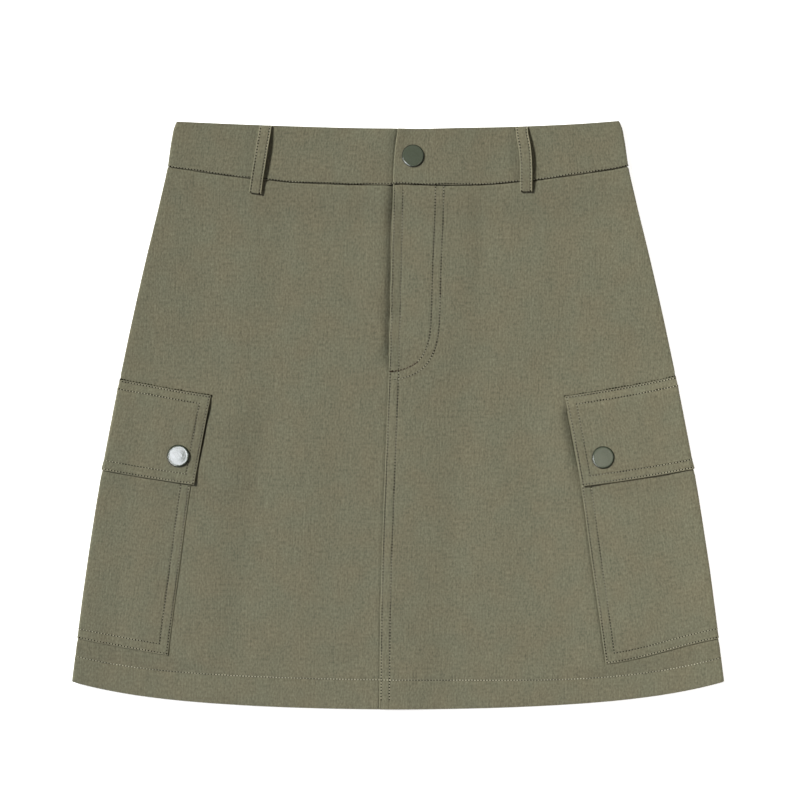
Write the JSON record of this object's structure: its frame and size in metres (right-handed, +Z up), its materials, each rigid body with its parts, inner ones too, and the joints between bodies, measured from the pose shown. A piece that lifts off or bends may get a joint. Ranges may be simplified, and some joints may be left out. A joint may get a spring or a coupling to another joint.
{
  "type": "cargo utility skirt",
  "caption": "A-line cargo skirt in olive woven cotton, laid flat: snapped waistband with belt loops, lapped fly front, and flap pockets that wrap the side folds.",
  "frame": {"origin": "on the table, under the middle of the skirt's bounding box as it lies flat on its back", "axes": "+X across the skirt towards the wearer's left, +Y up the skirt towards the waist, +Z up from the table towards the front of the skirt"},
  "size_m": [0.4948, 0.4466, 0.0104],
  "materials": {
    "body_cloth": "matt olive woven cotton with a fine upright rib",
    "band_cloth": "the same olive cotton, folded double",
    "loop_cloth": "the same olive cotton, folded in a strap and edge stitched",
    "pocket_cloth": "the same olive cotton with double topstitching",
    "snap_cap": "glossy dark grey-green enamel over metal"
  },
  "bodies": {
    "root": {"front_left": "body_cloth", "front_right": "body_cloth", "back_panel": "body_cloth", "waistband": "band_cloth", "belt_loop_front_left": "loop_cloth", "belt_loop_front_right": "loop_cloth", "belt_loop_back_left": "loop_cloth", "belt_loop_back_centre": "loop_cloth", "belt_loop_back_right": "loop_cloth", "pocket_left": "pocket_cloth", "pocket_right": "pocket_cloth", "flap_left": "pocket_cloth", "flap_right": "pocket_cloth", "snap_waist": "snap_cap", "snap_left": "snap_cap", "snap_right": "snap_cap"}
  },
  "joints": []
}
